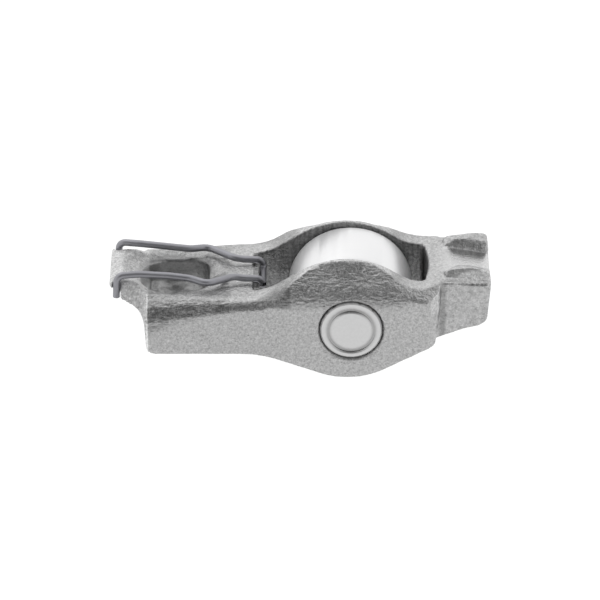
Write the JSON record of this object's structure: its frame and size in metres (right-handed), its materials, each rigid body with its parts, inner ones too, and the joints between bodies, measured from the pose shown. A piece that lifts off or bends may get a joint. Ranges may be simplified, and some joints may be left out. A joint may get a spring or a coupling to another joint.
{
  "type": "roller rocker arm",
  "caption": "Roller finger follower for an overhead cam engine: formed steel arm with cam roller on needles, staked pin, ball socket, valve pad with guide ears and a spring wire clip.",
  "frame": {"origin": "on the roller's axis, in the arm's plane of symmetry", "axes": "+X towards the valve end, +Y along the roller's axis, +Z towards the side with the socket and the valve pad"},
  "size_m": [0.0503, 0.0176, 0.017],
  "materials": {
    "arm_steel": "blasted hardened steel, grainy satin grey",
    "pin_steel": "turned steel face with a fine ring groove",
    "roller_steel": "ground bearing steel, bright",
    "spring_wire": "drawn spring wire, smooth grey",
    "needle_steel": "ground bearing steel"
  },
  "bodies": {
    "arm": {"arm": "arm_steel", "pin": "pin_steel", "clip": "spring_wire"},
    "roller": {"roller": "roller_steel"},
    "needles": {"needle_01": "needle_steel", "needle_02": "needle_steel", "needle_03": "needle_steel", "needle_04": "needle_steel", "needle_05": "needle_steel", "needle_06": "needle_steel", "needle_07": "needle_steel", "needle_08": "needle_steel", "needle_09": "needle_steel", "needle_10": "needle_steel", "needle_11": "needle_steel", "needle_12": "needle_steel", "needle_13": "needle_steel", "needle_14": "needle_steel", "needle_15": "needle_steel", "needle_16": "needle_steel", "needle_17": "needle_steel", "needle_18": "needle_steel", "needle_19": "needle_steel"}
  },
  "joints": [
    {"name": "roller_spin", "type": "hinge", "parent": "arm", "child": "roller", "pos_m": [0, 0, 0], "axis": [0, 1, 0], "continuous": true},
    {"name": "needle_orbit", "type": "hinge", "parent": "arm", "child": "needles", "pos_m": [0, 0, 0], "axis": [0, 1, 0], "continuous": true}
  ],
  "couplings": [
    {"joint": "needle_orbit", "follows": "roller_spin", "ratio": 0.5816}
  ]
}
